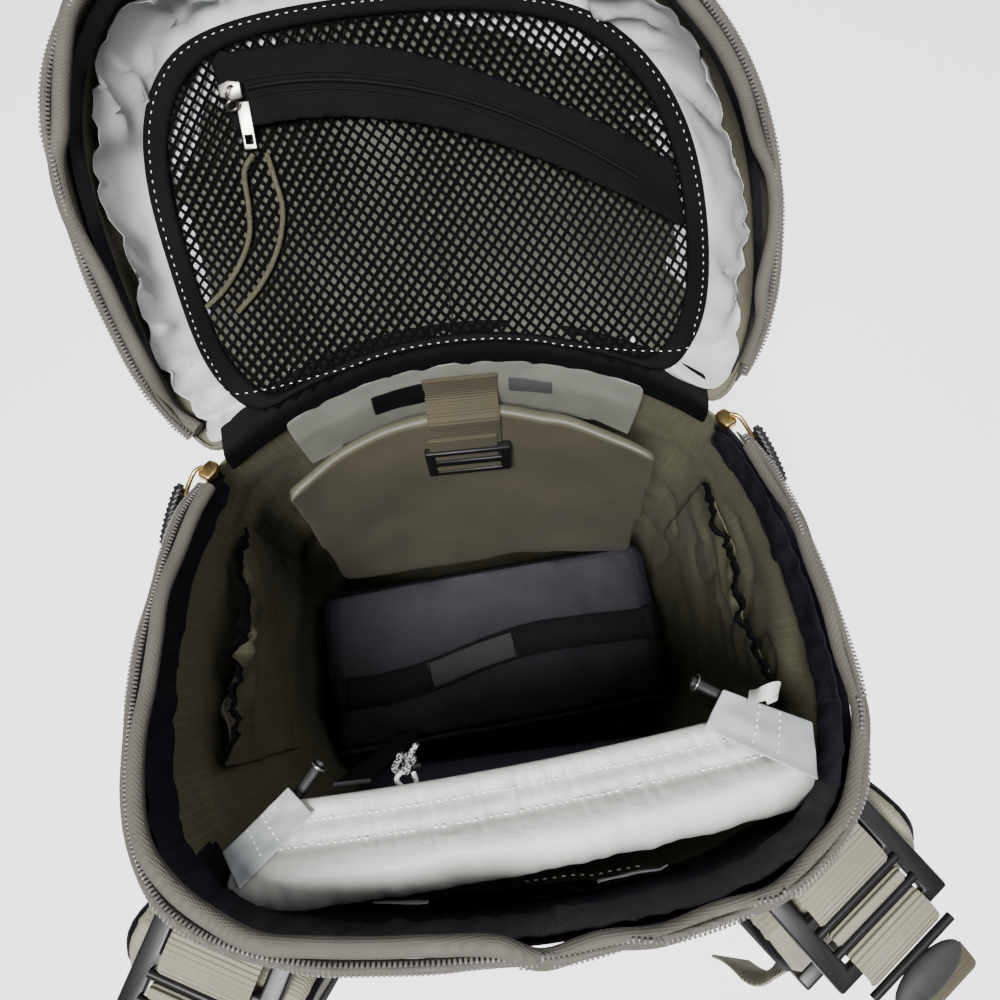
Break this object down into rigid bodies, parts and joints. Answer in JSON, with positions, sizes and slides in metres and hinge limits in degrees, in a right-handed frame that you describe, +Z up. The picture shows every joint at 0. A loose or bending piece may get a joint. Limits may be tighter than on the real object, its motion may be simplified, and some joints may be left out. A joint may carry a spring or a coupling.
{
  "type": "camera backpack",
  "caption": "Upright fabric backpack with a zipped top mouth, its dished lid thrown open over a net pocket, showing a padded camera insert, a padded sleeve, a divider and side pockets.",
  "frame": {"origin": "middle of the base, on the plane the pack stands on", "axes": "+Z up, +Y to the front of the pack, away from the wearer and towards the open lid, +X to the right in the picture"},
  "size_m": [0.3465, 0.4726, 0.6043],
  "materials": {
    "olive_fabric": "matt woven nylon",
    "olive_lining": "thin ripstop nylon",
    "grey_lining": "thin coated nylon",
    "navy_tape": "matt woven tape",
    "black_fabric": "matt woven nylon",
    "black_net": "knitted net",
    "tan_fabric": "smooth coated nylon",
    "white_nylon": "smooth nylon over foam",
    "khaki_webbing": "ribbed webbing",
    "black_plastic": "moulded, lightly textured",
    "zip_tape": "woven tape",
    "zip_coil": "nylon coil",
    "steel": "plated",
    "brass": "plated, worn"
  },
  "bodies": {
    "root": {"bag_body": "olive_fabric", "bag_zip_tape": "zip_tape", "bag_zip_coil": "zip_coil", "bag_facing": "navy_tape", "lid_shell": "olive_fabric", "lid_lining": "grey_lining", "lid_facing": "navy_tape", "lid_zip_tape": "zip_tape", "lid_zip_coil": "zip_coil", "net_pocket_panel": "black_net", "net_pocket_binding": "black_fabric", "net_pocket_zip_band": "black_fabric", "net_pocket_slider": "steel", "net_pocket_tab": "steel", "net_pocket_cord_1": "khaki_webbing", "net_pocket_cord_2": "khaki_webbing", "front_collar": "grey_lining", "front_divider": "tan_fabric", "hanger_web": "khaki_webbing", "hanger_buckle": "black_plastic", "side_pocket_right": "olive_lining", "side_pocket_elastic_right": "black_fabric", "side_pocket_left": "olive_lining", "side_pocket_elastic_left": "black_fabric", "insert_case": "black_fabric", "insert_door": "black_fabric", "insert_strap": "black_fabric", "insert_patch": "black_fabric", "insert_tab_right": "black_fabric", "insert_tab_left": "black_fabric", "sleeve_top": "white_nylon", "sleeve_panel": "navy_tape", "stay_rod_right": "black_plastic", "stay_ring_right": "steel", "sleeve_tab_right": "grey_lining", "stay_rod_left": "black_plastic", "stay_ring_left": "steel", "sleeve_tab_left": "grey_lining", "back_panel": "black_fabric", "hip_belt_right": "black_fabric", "hip_belt_left": "black_fabric", "shoulder_strap_right": "khaki_webbing", "lifter_buckle_right": "black_plastic", "lifter_web_right": "khaki_webbing", "strap_web_right": "khaki_webbing", "chest_web": "khaki_webbing", "chest_clip": "black_plastic", "shoulder_strap_left": "khaki_webbing", "lifter_buckle_left": "black_plastic", "lifter_web_left": "khaki_webbing", "strap_web_left": "khaki_webbing", "main_slider_right": "brass", "main_grip_right": "black_plastic", "main_slider_left": "brass", "main_grip_left": "black_plastic"}
  },
  "joints": []
}
